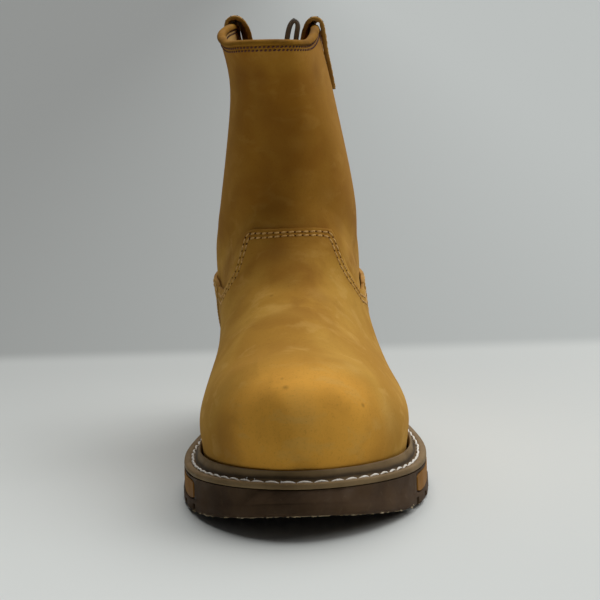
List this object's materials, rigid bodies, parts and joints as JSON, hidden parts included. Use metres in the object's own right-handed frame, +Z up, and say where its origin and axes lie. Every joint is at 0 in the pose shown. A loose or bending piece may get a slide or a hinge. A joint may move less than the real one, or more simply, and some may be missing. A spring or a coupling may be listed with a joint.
{
  "type": "wellington work boot",
  "caption": "Left pull-on wellington work boot: hollow nubuck upper with vamp and counter overlays, storm welt, heeled lug sole, rolled collar and two pull straps.",
  "frame": {"origin": "middle of the boot's outline on the floor under the tread", "axes": "+Z up, -Y towards the toe, +X towards the lateral side of the left foot"},
  "size_m": [0.1258, 0.312, 0.2373],
  "materials": {
    "sole_rubber": "matte dark brown moulded rubber",
    "amber_rubber": "satin amber rubber",
    "welt_rubber": "satin medium brown rubber",
    "insole_board": "plain covered board",
    "nubuck": "honey coloured nubuck nap",
    "counter_nubuck": "honey coloured nubuck nap",
    "binding_leather": "smooth rolled leather",
    "strap_leather": "honey coloured leather",
    "woven_tape": "dark grey woven tape"
  },
  "bodies": {
    "root": {"outsole": "sole_rubber", "side_panel_medial": "amber_rubber", "side_panel_lateral": "amber_rubber", "welt": "welt_rubber", "insole": "insole_board", "upper": "nubuck", "vamp": "nubuck", "counter": "counter_nubuck", "collar_binding": "binding_leather", "pull_strap_medial": "strap_leather", "pull_strap_lateral": "strap_leather", "tape_loop": "woven_tape"}
  },
  "joints": []
}
